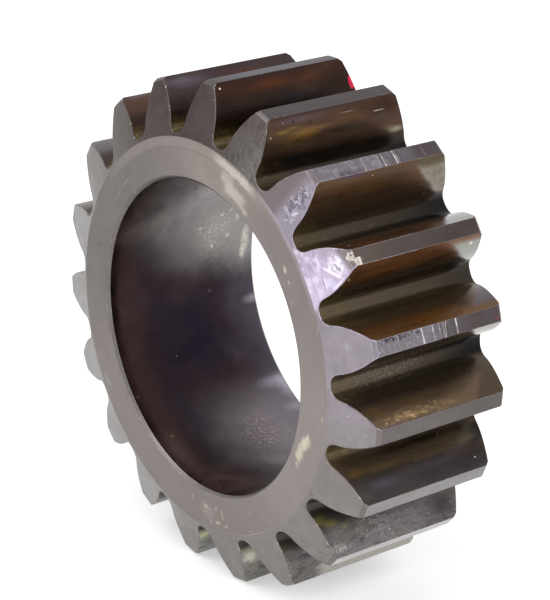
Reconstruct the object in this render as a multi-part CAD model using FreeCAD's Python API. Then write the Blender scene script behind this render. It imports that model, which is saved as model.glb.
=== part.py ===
import FreeCAD, Part
import math
import os

# A planet gear: one steel piece, turned to shape, bored, and cut with involute spur teeth.
# Lengths are in millimetres and angles in degrees.
# The axis lies along Y and the origin is on it, halfway between the two thrust faces.
# Z is up. The first tooth points straight up, so an odd tooth count stands on its two lowest teeth.

# Tooth system
MODULE = 5.0
TOOTH_COUNT = 19
PRESSURE_ANGLE = 20.0
# Outward shift of the hob from the standard position, and its depth and tip rounding, in modules
PROFILE_SHIFT = 0.30
HOB_DEPTH = 1.25
HOB_TIP_ROUNDING = 0.38
# Taken off each tooth's thickness at the pitch circle, so that the gear runs with play
TOOTH_THINNING = 0.10
# Taken off the standard tip radius, so that the shifted teeth clear their mates' roots
TIP_SHORTENING = 0.40

# Turned blank
BORE_DIAMETER = 66.5
BORE_CHAMFER = 0.6
OVERALL_WIDTH = 39.0
# Length of the teeth at their tips; the ends slope from there up to the thrust faces
TIP_LENGTH = 32.0
# Radial distance from the thrust face's outer edge out to the root circle
THRUST_FACE_INSET = 1.0
TIP_CHAMFER_RADIAL = 0.6
TIP_CHAMFER_AXIAL = 0.6

# How far the tooth-space cutter reaches past the tips and the ends
CUTTER_OVERRUN = 1.5
# Arcs that follow each curve of the tooth outline, within 0.02 mm
ARCS_PER_CURVE = 2

pressure_angle = math.radians(PRESSURE_ANGLE)
pitch_radius = MODULE * TOOTH_COUNT / 2
base_radius = pitch_radius * math.cos(pressure_angle)
tip_radius = pitch_radius + MODULE * (1 + PROFILE_SHIFT) - TIP_SHORTENING
root_radius = pitch_radius - MODULE * (HOB_DEPTH - PROFILE_SHIFT)
bore_radius = BORE_DIAMETER / 2
thrust_face_radius = root_radius - THRUST_FACE_INSET
tooth_pitch_angle = 2 * math.pi / TOOTH_COUNT

# The hob's tooth as a rack: half its thickness on the reference line, and the centre of its tip rounding.
# A hob tooth that narrows too much for the rounding asked for gets a little less than a full round tip.
hob_sine = math.sin(pressure_angle)
hob_cosine = math.cos(pressure_angle)
hob_half_thickness = math.pi * MODULE / 4 + TOOTH_THINNING / 2
full_round = (hob_half_thickness * hob_cosine - HOB_DEPTH * MODULE * hob_sine) / (1 - hob_sine)
hob_rounding = min(HOB_TIP_ROUNDING * MODULE, 0.95 * full_round)
hob_centre_depth = HOB_DEPTH * MODULE - hob_rounding
hob_centre_offset = hob_half_thickness - (hob_rounding + hob_centre_depth * hob_sine) / hob_cosine
hob_centre_below_pitch = hob_centre_depth - PROFILE_SHIFT * MODULE


def involute(angle):
    return math.tan(angle) - angle


def polar(radius, angle):
    """Point in the XZ plane, at an angle measured from straight up towards +X."""
    return FreeCAD.Vector(radius * math.sin(angle), 0, radius * math.cos(angle))


def root_fillet_point(offset):
    """Fillet that the rounded hob tip sweeps, from the root (offset 0) up to the start of the flank."""
    roll = (hob_centre_offset - offset) / pitch_radius
    reach = math.hypot(offset, hob_centre_below_pitch)
    across = offset + hob_rounding * offset / reach
    up = pitch_radius - hob_centre_below_pitch * (1 + hob_rounding / reach)
    return math.hypot(across, up), math.atan2(across, up) + roll


def flank_point(radius):
    """Involute flank, as an angle from the middle of the tooth space."""
    half_space_at_pitch = tooth_pitch_angle / 4 - (
        2 * PROFILE_SHIFT * MODULE * math.tan(pressure_angle) - TOOTH_THINNING
    ) / (2 * pitch_radius)
    opening = involute(math.acos(base_radius / radius)) - involute(pressure_angle)
    return radius, half_space_at_pitch + opening


def arcs_through(points):
    """Chain of arcs, each over three of the points."""
    return [
        Part.Arc(points[first], points[first + 1], points[first + 2]).toShape()
        for first in range(0, len(points) - 2, 2)
    ]


def along_curve(start, end):
    """Values from start to end, one for each point that the arcs of a curve pass through."""
    steps = 2 * ARCS_PER_CURVE
    return [start + (end - start) * step / steps for step in range(steps + 1)]


def mirrored(points):
    return [FreeCAD.Vector(-point.x, point.y, point.z) for point in points]


def tooth_space_cutter():
    """Solid that fills one tooth space, pointing straight up, and runs past the tips and both ends."""
    last_offset = hob_centre_below_pitch / math.tan(pressure_angle)
    fillet = [polar(*root_fillet_point(offset)) for offset in along_curve(0, last_offset)]
    flank_start = root_fillet_point(last_offset)[0]
    radii = along_curve(flank_start, tip_radius + CUTTER_OVERRUN)
    flank = [fillet[-1]] + [polar(*flank_point(radius)) for radius in radii[1:]]
    other_fillet = mirrored(fillet)
    other_flank = mirrored(flank)
    root = [other_fillet[0], polar(root_radius, 0), fillet[0]]
    outside = [flank[-1], polar(tip_radius + CUTTER_OVERRUN, 0), other_flank[-1]]
    edges = arcs_through(root) + arcs_through(fillet) + arcs_through(flank) + arcs_through(outside)
    edges += arcs_through(other_flank[::-1]) + arcs_through(other_fillet[::-1])
    outline = Part.Wire(edges)
    half_length = OVERALL_WIDTH / 2 + CUTTER_OVERRUN
    outline.translate(FreeCAD.Vector(0, -half_length, 0))
    return Part.Face(outline).extrude(FreeCAD.Vector(0, 2 * half_length, 0))


def turned_blank():
    """Bored ring with flat thrust faces, sloping tooth ends and chamfered tips."""
    slope = (OVERALL_WIDTH - TIP_LENGTH) / 2 / (tip_radius - thrust_face_radius)
    end_at_chamfer = TIP_LENGTH / 2 + slope * TIP_CHAMFER_RADIAL
    half_section = [
        (bore_radius, OVERALL_WIDTH / 2 - BORE_CHAMFER),
        (bore_radius + BORE_CHAMFER, OVERALL_WIDTH / 2),
        (thrust_face_radius, OVERALL_WIDTH / 2),
        (tip_radius - TIP_CHAMFER_RADIAL, end_at_chamfer),
        (tip_radius, TIP_LENGTH / 2 - TIP_CHAMFER_AXIAL),
    ]
    back = [FreeCAD.Vector(radius, along, 0) for radius, along in half_section]
    front = [FreeCAD.Vector(radius, -along, 0) for radius, along in reversed(half_section)]
    section = Part.Face(Part.makePolygon(back + front + back[:1]))
    return section.revolve(FreeCAD.Vector(0, 0, 0), FreeCAD.Vector(0, 1, 0), 360)


def planet_gear():
    gear = turned_blank()
    cutter = tooth_space_cutter()
    cutters = []
    for index in range(TOOTH_COUNT):
        space = cutter.copy()
        turn = 360 / TOOTH_COUNT * (index + 0.5)
        space.rotate(FreeCAD.Vector(0, 0, 0), FreeCAD.Vector(0, 1, 0), turn)
        cutters.append(space)
    return gear.cut(cutters)


os.makedirs("parts", exist_ok=True)
gear = planet_gear()
gear.exportStep("parts/planet_gear.step")
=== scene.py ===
import math

import bmesh
import bpy
from mathutils import Matrix, Vector, noise


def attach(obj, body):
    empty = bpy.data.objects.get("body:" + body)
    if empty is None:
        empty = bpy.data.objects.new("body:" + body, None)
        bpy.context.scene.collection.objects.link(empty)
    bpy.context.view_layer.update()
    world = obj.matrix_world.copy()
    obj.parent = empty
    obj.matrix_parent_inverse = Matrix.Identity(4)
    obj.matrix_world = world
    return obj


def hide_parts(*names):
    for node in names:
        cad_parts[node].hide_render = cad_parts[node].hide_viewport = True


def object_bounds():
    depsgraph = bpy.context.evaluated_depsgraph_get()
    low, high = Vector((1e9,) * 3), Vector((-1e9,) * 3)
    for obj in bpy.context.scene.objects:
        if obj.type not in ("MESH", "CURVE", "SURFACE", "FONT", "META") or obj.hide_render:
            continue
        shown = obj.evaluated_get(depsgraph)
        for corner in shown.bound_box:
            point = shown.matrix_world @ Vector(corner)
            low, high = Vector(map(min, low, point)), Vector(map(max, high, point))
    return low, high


# A used planet gear on a white table. The gear is one piece of steel; this script gives it its finish:
# ground thrust faces, sloping tooth ends, oily flanks, a polished bore, worn edges and a few dents.
# The mesh is worked out in millimetres and scaled to metres at the end.
MILLIMETRE = 0.001

# Tooth system, as in the part's source
MODULE = 5.0
TOOTH_COUNT = 19
PRESSURE_ANGLE = math.radians(20.0)
PROFILE_SHIFT = 0.30
HOB_DEPTH = 1.25
HOB_TIP_ROUNDING = 0.38
TOOTH_THINNING = 0.10
TIP_SHORTENING = 0.40

# Turned shape
BORE_RADIUS = 33.25
BORE_CHAMFER = 0.6
HALF_WIDTH = 19.5
HALF_TIP_LENGTH = 16.0
THRUST_FACE_INSET = 1.0
TIP_CHAMFER = 0.6

# How finely the mesh follows the shape: steps of the tooth outline along its root, its fillet and its flank,
# cuts of the tooth end from the outline inwards, and cuts along half of a flank and half of the bore
ROOT_STEPS = 3
FILLET_STEPS = 8
FLANK_STEPS = 9
END_CUTS = 3
FLANK_CUTS = 11
BORE_CUTS = 7
# The fillet's round ends where the flank begins, which is where the hob's tip leans this far, in degrees
FILLET_LEAN = 70.0
# How far below the first flank point the line up the tooth's middle begins
SPINE_DROP = 0.9
# Rings that split the thrust face
THRUST_FACE_RINGS = (40.3, 38.0, 35.8)
# Points closer than this are one point, and edges that bend by more than this many degrees stay sharp
MERGE_DISTANCE = 0.0005
SHARP_BEND = 14

pitch_radius = MODULE * TOOTH_COUNT / 2
base_radius = pitch_radius * math.cos(PRESSURE_ANGLE)
tip_radius = pitch_radius + MODULE * (1 + PROFILE_SHIFT) - TIP_SHORTENING
root_radius = pitch_radius - MODULE * (HOB_DEPTH - PROFILE_SHIFT)
thrust_face_radius = root_radius - THRUST_FACE_INSET
chamfer_radius = tip_radius - TIP_CHAMFER
end_slope = (HALF_WIDTH - HALF_TIP_LENGTH) / (tip_radius - thrust_face_radius)
tooth_turn = 2 * math.pi / TOOTH_COUNT

# Finish of each face, as the place of its material on the piece
THRUST_FACE, TOOTH_END, FLANK, TIP_LAND, BORE, CHAMFER, WORN_EDGE, CHIP = range(8)

# Flakes broken off the front corner of the fourth tooth: angle in degrees, radius, place along the axis,
# how far each reaches and how deep it goes, in millimetres
FLAKES = ((56.5, 53.3, -16.4, 1.1, 0.42), (57.5, 53.6, -14.7, 0.95, 0.32))

# Hammered dents on tooth ends: angle, radius, half the length around, half the length outward, depth
DENTED = ((39.6, 49.6, 2.2, 3.4, 0.16), (41.2, 45.4, 2.2, 3.2, 0.14), (22.0, 48.0, 1.2, 3.6, 0.06))

# Nicks across the tip lands: tooth, place along the axis, half width, how bright (dark below 0), and lean
NICKS = (
    (3, -3.6, 0.26, 0.5, -0.1), (3, 0.3, 0.24, 0.4, -0.1), (3, 0.75, 0.26, -0.6, -0.1),
    (3, 1.3, 0.2, 0.7, -0.1), (3, 4.25, 0.26, 0.85, -0.04), (3, 4.8, 0.18, 0.45, -0.04),
    (3, 11.3, 0.16, 0.15, -0.1), (5, -4.25, 0.24, 0.95, 0.12), (5, -1.55, 0.22, 0.7, 0.1),
    (5, 0.05, 0.2, 0.5, 0.12), (5, 0.5, 0.18, -0.5, 0.1), (5, 1.0, 0.16, 0.4, 0.0),
    (5, 1.5, 0.16, 0.5, -0.1), (5, 2.0, 0.2, -0.6, 0.05), (5, 2.7, 0.18, -0.3, 0.0),
    (5, 3.6, 0.3, -0.35, 0.05), (5, 4.3, 0.24, 0.95, 0.07), (5, 14.5, 0.3, -0.3, 0.2),
)

# Depth of a nick of full brightness
NICK_DEPTH = 0.12

# The camera stands where the photograph was taken from
CAMERA_PLACE = (0.35549, -0.27174, 0.17426)
CAMERA_PITCH = 20.836
CAMERA_TURN = 52.583
CAMERA_LENS = 137.863
SENSOR_WIDTH = 36.0
# The camera sees this many metres far
VIEW_DISTANCE = 20.0
# The gear in the photograph has rolled by a quarter of a degree on its teeth; the camera turns instead
GEAR_ROLL = 0.228

# Marks on the tooth ends are centred this far along the axis. On the front and in the bore, marks reach
# this deep, so that they cover the slope or the curve that they lie on
END_PLACE = -17.0
MARK_DEPTH = 4
BORE_MARK_DEPTH = 3

# The table lies just under the gear. It and the room glow white where the camera or the polish sees them
TABLE_SIZE = 6.0
TABLE_GAP = 0.0001
TABLE_WHITE = 0.9
TABLE_GLOW = 0.42
ROOM_LIGHT = 0.7
# Softboxes: name, place, width and power
SOFTBOXES = (
    ("key softbox", (-0.3, -0.7, 0.8), 0.7, 3.5),
    ("side softbox", (0.9, -0.1, 0.6), 0.7, 3.0),
)

# Sockets of a Mix node that take and give colours
MIX_BELOW = 6
MIX_ABOVE = 7
MIX_RESULT = 2

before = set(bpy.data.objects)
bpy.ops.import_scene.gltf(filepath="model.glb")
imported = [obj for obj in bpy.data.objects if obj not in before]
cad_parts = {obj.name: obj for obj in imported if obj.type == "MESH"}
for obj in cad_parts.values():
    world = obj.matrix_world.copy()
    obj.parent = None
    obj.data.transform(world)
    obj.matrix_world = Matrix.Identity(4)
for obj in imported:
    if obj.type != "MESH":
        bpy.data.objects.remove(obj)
cad_low, cad_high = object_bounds()


def set_camera():
    """Long lens, at the photograph's viewing angle."""
    camera = bpy.data.objects.new("camera", bpy.data.cameras.new("camera"))
    bpy.context.scene.collection.objects.link(camera)
    camera.data.lens = CAMERA_LENS
    camera.data.sensor_width = SENSOR_WIDTH
    camera.data.clip_end = VIEW_DISTANCE
    camera.location = CAMERA_PLACE
    camera.rotation_euler = (math.radians(90 - CAMERA_PITCH), 0, math.radians(CAMERA_TURN))
    bpy.context.view_layer.update()
    camera.matrix_world = Matrix.Rotation(math.radians(GEAR_ROLL), 4, "Y") @ camera.matrix_world
    bpy.context.scene.camera = camera


# Shape of the teeth

def at(radius, angle, along=0.0):
    """Point at an angle from straight up towards +X, in millimetres."""
    return Vector((radius * math.sin(angle), along, radius * math.cos(angle)))


def radius_of(vert):
    return math.hypot(vert.co.x, vert.co.z)


def involute(angle):
    return math.tan(angle) - angle


def flank_angle(radius):
    """Angle of the flank from the middle of the tooth space, at a radius."""
    shifted = 2 * PROFILE_SHIFT * MODULE * math.tan(PRESSURE_ANGLE) - TOOTH_THINNING
    at_pitch = tooth_turn / 4 - shifted / (2 * pitch_radius)
    return at_pitch + involute(math.acos(base_radius / radius)) - involute(PRESSURE_ANGLE)


def fillet_point(lean):
    """Fillet swept by the hob's round tip, where the tip leans by that angle. Radius and angle."""
    rounding = HOB_TIP_ROUNDING * MODULE
    half_thickness = math.pi * MODULE / 4 + TOOTH_THINNING / 2
    depth = HOB_DEPTH * MODULE - rounding
    sideways = half_thickness - (rounding + depth * math.sin(PRESSURE_ANGLE)) / math.cos(PRESSURE_ANGLE)
    below = depth - PROFILE_SHIFT * MODULE
    offset = below * math.tan(lean)
    across = offset + rounding * math.sin(lean)
    up = pitch_radius - below - rounding * math.cos(lean)
    return math.hypot(across, up), math.atan2(across, up) + (sideways - offset) / pitch_radius


def half_outline():
    """Half a tooth space and half a tooth, from the root to the tip, and how many points its flank has.

    Each point is a radius and an angle from the tooth's middle."""
    leans = [math.radians(FILLET_LEAN) * step / FILLET_STEPS for step in range(FILLET_STEPS + 1)]
    fillet = [fillet_point(lean) for lean in leans]
    root = [(root_radius, fillet[0][1] * step / ROOT_STEPS) for step in range(ROOT_STEPS)]
    start = fillet[-1][0]
    rise = chamfer_radius - start
    radii = [start + rise * step / FLANK_STEPS for step in range(1, FLANK_STEPS + 1)] + [tip_radius]
    flank = [(radius, flank_angle(radius)) for radius in radii]
    return [(radius, tooth_turn / 2 - angle) for radius, angle in root + fillet + flank], len(flank)


def tooth_spine(outline, flank_count):
    """Line that the tooth's end is bridged to: along the thrust face's edge, then up the tooth's middle."""
    around = len(outline) - flank_count
    edge = [(thrust_face_radius, tooth_turn / 2 * (1 - step / (around - 1))) for step in range(around)]
    low = outline[around][0] - SPINE_DROP
    reach = (chamfer_radius - thrust_face_radius) / (chamfer_radius - low)
    middle = [
        (max(radius, chamfer_radius) if radius > chamfer_radius - 0.001
         else thrust_face_radius + (radius - low) * reach, 0.0)
        for radius, angle in outline[around:]
    ]
    return edge + middle


def end_distance(radius):
    """How far the gear's front end stands out from the middle plane, at a radius."""
    if radius <= thrust_face_radius:
        return HALF_WIDTH
    if radius <= chamfer_radius:
        return HALF_WIDTH - end_slope * (radius - thrust_face_radius)
    at_chamfer = HALF_WIDTH - end_slope * (chamfer_radius - thrust_face_radius)
    down = at_chamfer - HALF_TIP_LENGTH + TIP_CHAMFER
    return at_chamfer - down * (radius - chamfer_radius) / TIP_CHAMFER


def chain(mesh, points):
    verts = [mesh.verts.new(at(radius, angle)) for radius, angle in points]
    return [mesh.edges.new(pair) for pair in zip(verts, verts[1:])]


def pulled_out(mesh, edges, finish):
    """Strip extruded from a row of edges: its new verts, its new edges and the edges that join them."""
    made = bmesh.ops.extrude_edge_only(mesh, edges=edges)["geom"]
    verts = [part for part in made if isinstance(part, bmesh.types.BMVert)]
    for part in made:
        if isinstance(part, bmesh.types.BMFace):
            part.material_index = finish
    fresh = set(verts)
    row = {edge for vert in verts for edge in vert.link_edges}
    far = [edge for edge in row if edge.verts[0] in fresh and edge.verts[1] in fresh]
    joining = [edge for edge in row if (edge.verts[0] in fresh) != (edge.verts[1] in fresh)]
    return verts, far, joining


def half_tooth():
    """Front half of one side of the first tooth, with the ring and the bore below it."""
    mesh = bmesh.new()
    outline, flank_count = half_outline()
    outside = chain(mesh, outline)
    inside = chain(mesh, tooth_spine(outline, flank_count))
    bmesh.ops.bridge_loops(mesh, edges=outside + inside)
    rungs = [edge for edge in mesh.edges if edge not in outside and edge not in inside]
    bmesh.ops.subdivide_edges(mesh, edges=rungs, cuts=END_CUTS, use_grid_fill=True)
    for vert in mesh.verts:
        vert.co.y = -end_distance(radius_of(vert))
    for face in mesh.faces:
        beyond = min(radius_of(vert) for vert in face.verts) > chamfer_radius - 0.01
        face.material_index = CHAMFER if beyond else TOOTH_END
    tip = [edge for edge in mesh.edges if min(map(radius_of, edge.verts)) > tip_radius - 0.03]
    bottom = [edge for edge in mesh.edges if max(map(radius_of, edge.verts)) < thrust_face_radius + 0.01]
    for edges, finish in ((outside, FLANK), (tip, TIP_LAND)):
        verts, far, joining = pulled_out(mesh, edges, finish)
        for vert in verts:
            vert.co.y = 0
        bmesh.ops.subdivide_edges(mesh, edges=joining, cuts=FLANK_CUTS, use_grid_fill=True)
    inner = [(radius, HALF_WIDTH, THRUST_FACE) for radius in (*THRUST_FACE_RINGS, BORE_RADIUS + BORE_CHAMFER)]
    inner += [(BORE_RADIUS, HALF_WIDTH - BORE_CHAMFER, CHAMFER), (BORE_RADIUS, 0, BORE)]
    last = thrust_face_radius
    for radius, along, finish in inner:
        verts, bottom, joining = pulled_out(mesh, bottom, finish)
        bmesh.ops.scale(mesh, vec=(radius / last, 1, radius / last), verts=verts)
        for vert in verts:
            vert.co.y = -along
        last = radius
    bmesh.ops.subdivide_edges(mesh, edges=joining, cuts=BORE_CUTS, use_grid_fill=True)
    return mesh


def everything(mesh):
    return mesh.verts[:] + mesh.edges[:] + mesh.faces[:]


def whole_gear():
    """The half tooth mirrored to the back and to its other side, then copied all the way round."""
    mesh = half_tooth()
    for axis in ("Y", "X"):
        bmesh.ops.mirror(
            mesh, geom=everything(mesh), matrix=Matrix.Identity(4), merge_dist=MERGE_DISTANCE, axis=axis,
        )
    bmesh.ops.spin(
        mesh, geom=everything(mesh), cent=(0, 0, 0), axis=(0, 1, 0), dvec=(0, 0, 0),
        angle=2 * math.pi - tooth_turn, steps=TOOTH_COUNT - 1, use_merge=False, use_duplicate=True,
    )
    bmesh.ops.remove_doubles(mesh, verts=mesh.verts[:], dist=MERGE_DISTANCE)
    bmesh.ops.recalc_face_normals(mesh, faces=mesh.faces[:])
    return mesh


def edges_between(mesh, first, second):
    """Edges where a face of one finish meets a face of another."""
    found = []
    for edge in mesh.edges:
        finishes = {face.material_index for face in edge.link_faces}
        if len(finishes) == 2 and finishes & set(first) and finishes & set(second):
            found.append(edge)
    return found


def break_edges(mesh):
    """The edges are rubbed round: most on the tooth outlines, less on the lands and the chamfers."""
    rubbed = (
        ((THRUST_FACE,), (TOOTH_END,), 0.7, 3),
        ((FLANK,), (TOOTH_END, CHAMFER), 0.16, 2),
        ((FLANK,), (TIP_LAND,), 0.16, 2),
        ((CHAMFER,), (TIP_LAND, TOOTH_END), 0.12, 2),
        ((CHAMFER,), (THRUST_FACE, BORE), 0.08, 2),
    )
    for first, second, width, segments in rubbed:
        made = bmesh.ops.bevel(
            mesh, geom=edges_between(mesh, first, second), offset=width, offset_type="OFFSET",
            segments=segments, profile=0.5, affect="EDGES", clamp_overlap=True, material=-1,
        )
        for face in made["faces"]:
            face.material_index = THRUST_FACE if THRUST_FACE in first else WORN_EDGE


def cut_small(mesh, faces, cuts):
    """Cuts faces into small ones, so that they can be dented."""
    edges = {edge for face in faces for edge in face.edges}
    bmesh.ops.subdivide_edges(mesh, edges=list(edges), cuts=cuts, use_grid_fill=True)


def dent_ends(mesh):
    """Hammered dents in the front ends of two teeth, sunk by a coarse and a fine noise."""
    for angle, radius, around, outward, depth in DENTED:
        middle = at(radius, math.radians(angle), -end_distance(radius))
        outwards = at(1, math.radians(angle))

        def reach(place):
            away = place - middle
            up = away.dot(outwards)
            return math.hypot(up / outward, (away - outwards * up).length / around)

        faces = [
            face for face in mesh.faces
            if face.material_index == TOOTH_END and reach(face.calc_center_median()) < 1.2
        ]
        cut_small(mesh, faces, 3)
        for vert in mesh.verts:
            far = reach(vert.co)
            ends_only = all(face.material_index == TOOTH_END for face in vert.link_faces)
            if far < 1 and ends_only:
                coarse = max(0.0, noise.noise(vert.co * 1.3))
                fine = max(0.0, noise.noise(vert.co * 2.9))
                fading = min(1.0, 2 - 2 * far)
                vert.co.y += depth * (coarse + 0.6 * fine) * 2.2 * fading


def chip_corner(mesh):
    """Breaks the flakes off the fourth tooth's front corner, each a rough hollow with flat facets."""
    inward = (-at(1, math.radians(57)) + Vector((0, 1, 0))).normalized()
    for angle, radius, along, reach, depth in FLAKES:
        middle = at(radius, math.radians(angle), along)
        near = [face for face in mesh.faces if (face.calc_center_median() - middle).length < reach * 1.3]
        cut_small(mesh, near, 3)
        for vert in mesh.verts:
            away = (vert.co - middle).length / reach
            if away < 1:
                lump = 1 + 0.9 * noise.noise(vert.co * 2.3) + 0.5 * noise.noise(vert.co * 6.1)
                vert.co += inward * depth * lump * (1 - away ** 3)
        for face in mesh.faces:
            place = face.calc_center_median()
            if (place - middle).length + 0.3 * noise.noise(place * 1.9) < reach * 0.92:
                face.material_index = CHIP


def nick_lands(mesh):
    """Cuts the nicks that cross the tip lands, each a shallow groove between two edges."""
    for number, along, width, bright, lean in NICKS:
        turn = (number - 1) * tooth_turn
        sideways = at(1, turn + math.pi / 2)
        upright = (Vector((0, 1, 0)) - sideways * lean).normalized()
        for offset, sink in ((-width, 0.0), (width, 0.0), (0.0, NICK_DEPTH * abs(bright))):
            middle = at(tip_radius, turn, along + offset)
            faces = [
                face for face in mesh.faces
                if face.material_index == TIP_LAND and (face.calc_center_median() - middle).length < 4.0
            ]
            parts = {part for face in faces for part in (*face.verts, *face.edges, face)}
            cut = bmesh.ops.bisect_plane(
                mesh, geom=list(parts), dist=0.001, plane_co=middle, plane_no=upright,
            )["geom_cut"]
            for vert in cut:
                if isinstance(vert, bmesh.types.BMVert):
                    vert.co -= at(sink, turn)


def smooth_shading(mesh):
    for face in mesh.faces:
        face.smooth = face.material_index != CHIP
    for edge in mesh.edges:
        if len(edge.link_faces) == 2 and edge.calc_face_angle() > math.radians(SHARP_BEND):
            edge.smooth = False


def piece_of(name, mesh, finishes):
    """Object made of a finished mesh, which is turned from millimetres to metres."""
    bmesh.ops.scale(mesh, vec=(MILLIMETRE, MILLIMETRE, MILLIMETRE), verts=mesh.verts[:])
    data = bpy.data.meshes.new(name)
    mesh.to_mesh(data)
    mesh.free()
    for finish in finishes:
        data.materials.append(finish)
    piece = bpy.data.objects.new(name, data)
    bpy.context.scene.collection.objects.link(piece)
    return piece


# Finishes

def shade(red, green, blue):
    """Linear light of a paint-chart colour, whose values run to 255."""
    def linear(value):
        value = value / 255
        return value / 12.92 if value <= 0.04045 else ((value + 0.055) / 1.055) ** 2.4
    return linear(red), linear(green), linear(blue)


class Finish:
    """One procedural finish. Its places are in millimetres from the middle of the gear."""

    def __init__(self, name, metal, rough, colour):
        self.material = bpy.data.materials.new(name)
        self.material.use_nodes = True
        self.nodes = self.material.node_tree.nodes
        self.links = self.material.node_tree.links
        self.shader = self.nodes["Principled BSDF"]
        self.metal = metal
        self.colour = shade(*colour)
        self.rough = rough
        self.height = 0.0
        self.flanks = {}
        place = self.nodes.new("ShaderNodeTexCoord").outputs["Object"]
        self.place = self.vector("SCALE", place, scale=1 / MILLIMETRE)
        parts = self.nodes.new("ShaderNodeSeparateXYZ")
        self.links.new(self.place, parts.inputs[0])
        self.x, self.y, self.z = parts.outputs
        squares = self.math("ADD", self.math("POWER", self.x, 2), self.math("POWER", self.z, 2))
        self.radius = self.math("SQRT", squares)
        self.depth = self.math("SUBTRACT", tip_radius, self.radius)
        self.angle = self.math("ARCTAN2", self.x, self.z)
        turns = self.math("DIVIDE", self.angle, tooth_turn)
        self.tooth = self.math("ROUND", turns)
        self.side = self.math("SUBTRACT", turns, self.tooth)
        self.ragged_edge = self.noise(self.place, 1.3, 5.0, 0.65).outputs["Fac"]
        push = self.noise(self.place, 0.4, 2.0, 0.5).outputs["Color"]
        push = self.vector("SCALE", self.vector("SUBTRACT", push, (0.5, 0.5, 0.5)), scale=2.2)
        self.pushed_place = self.vector("ADD", self.place, push)

    def put(self, socket, value):
        if isinstance(value, bpy.types.NodeSocket):
            self.links.new(value, socket)
        elif isinstance(value, tuple) and len(value) == 3 and len(socket.default_value) == 4:
            socket.default_value = (*value, 1.0)
        else:
            socket.default_value = value

    def math(self, operation, *values):
        node = self.nodes.new("ShaderNodeMath")
        node.operation = operation
        for socket, value in zip(node.inputs, values):
            self.put(socket, value)
        return node.outputs[0]

    def vector(self, operation, first, second=None, scale=None):
        node = self.nodes.new("ShaderNodeVectorMath")
        node.operation = operation
        self.put(node.inputs[0], first)
        if second is not None:
            self.put(node.inputs[1], second)
        if scale is not None:
            node.inputs["Scale"].default_value = scale
        return node.outputs["Value" if operation == "LENGTH" else "Vector"]

    def joined(self, *parts):
        node = self.nodes.new("ShaderNodeCombineXYZ")
        for socket, part in zip(node.inputs, parts):
            self.put(socket, part)
        return node.outputs[0]

    def noise(self, place, scale, detail, coarse):
        node = self.nodes.new("ShaderNodeTexNoise")
        self.links.new(place, node.inputs["Vector"])
        node.inputs["Scale"].default_value = scale
        node.inputs["Detail"].default_value = detail
        node.inputs["Roughness"].default_value = coarse
        return node

    def step(self, value, low, high):
        """Smooth step, 0 at low and 1 at high, where low may be the larger."""
        node = self.nodes.new("ShaderNodeMapRange")
        node.interpolation_type = "SMOOTHSTEP"
        node.clamp = False
        falling = low > high
        self.put(node.inputs["Value"], value)
        node.inputs["From Min"].default_value = high if falling else low
        node.inputs["From Max"].default_value = low if falling else high
        node.inputs["To Min"].default_value = 1.0 if falling else 0.0
        node.inputs["To Max"].default_value = 0.0 if falling else 1.0
        return node.outputs["Result"]

    def along(self, low, high):
        """Step along the axis, whose front is negative."""
        return self.step(self.y, low, high)

    def down(self, low, high):
        """Step by the depth below the tips."""
        return self.step(self.depth, low, high)

    def out(self, low, high):
        """Step by the distance from the axis."""
        return self.step(self.radius, low, high)

    def band(self, value, middle, inner, outer):
        """1 within inner of the middle, and 0 beyond outer."""
        away = self.math("ABSOLUTE", self.math("SUBTRACT", value, middle))
        return self.step(away, outer, inner)

    def both(self, *masks):
        product = masks[0]
        for mask in masks[1:]:
            product = self.math("MULTIPLY", product, mask)
        return product

    def grain(self, scale, detail=4.0, coarse=0.55, stretch=None, where=None, low=0.35, high=0.65):
        """Noise mask. stretch scales the place first, so that the grain runs along an axis."""
        spot = where or self.place
        if stretch:
            spot = self.vector("MULTIPLY", spot, stretch)
        return self.step(self.noise(spot, scale, detail, coarse).outputs["Fac"], low, high)

    def moved(self, *by):
        """Place for a second grain that doesn't follow the first."""
        return self.vector("ADD", self.place, by)

    def around(self, fine, long):
        """Place for marks that run around the axis: fine across the radius, long along the turn."""
        return self.joined(
            self.math("MULTIPLY", self.radius, fine),
            self.math("MULTIPLY", self.angle, long),
            self.math("MULTIPLY", self.y, 0.2),
        )

    def near_turn(self, middle, inner, outer):
        """1 within inner degrees of a direction from the axis, and 0 beyond outer degrees."""
        away = self.math("SUBTRACT", self.math("DEGREES", self.angle), middle)
        return self.step(self.math("ABSOLUTE", self.math("WRAP", away, 180, -180)), outer, inner)

    def on_tooth(self, number):
        """1 on one tooth and its half spaces, counted clockwise from the top one, seen from the front."""
        index = number - 1 if number <= (TOOTH_COUNT + 1) // 2 else number - 1 - TOOTH_COUNT
        return self.math("COMPARE", self.tooth, float(index), 0.3)

    def on_flank(self, number, clockwise):
        """1 on one side of one tooth."""
        if (number, clockwise) not in self.flanks:
            sided = self.math("GREATER_THAN" if clockwise else "LESS_THAN", self.side, 0.0)
            self.flanks[number, clockwise] = self.both(self.on_tooth(number), sided)
        return self.flanks[number, clockwise]

    def patch(self, angle, radius, along, size, turn=0.0, ragged=0.5, soft=0.4, loose=True):
        """Ragged mark, at an angle in degrees clockwise from the top.

        size is half its extent around, along the axis and outward, in millimetres; turn leans it, in degrees
        about the axis. A loose one wanders a bit."""
        node = self.nodes.new("ShaderNodeMapping")
        node.vector_type = "TEXTURE"
        self.links.new(self.pushed_place if loose else self.place, node.inputs["Vector"])
        node.inputs["Location"].default_value = at(radius, math.radians(angle), along)
        node.inputs["Rotation"].default_value = (0, math.radians(angle + turn), 0)
        node.inputs["Scale"].default_value = size
        reach = self.vector("LENGTH", node.outputs["Vector"])
        reach = self.math("MULTIPLY_ADD", self.ragged_edge, ragged, reach)
        return self.step(reach, 1.0 + ragged * 0.5, 1.0 + ragged * 0.5 - soft)

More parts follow.
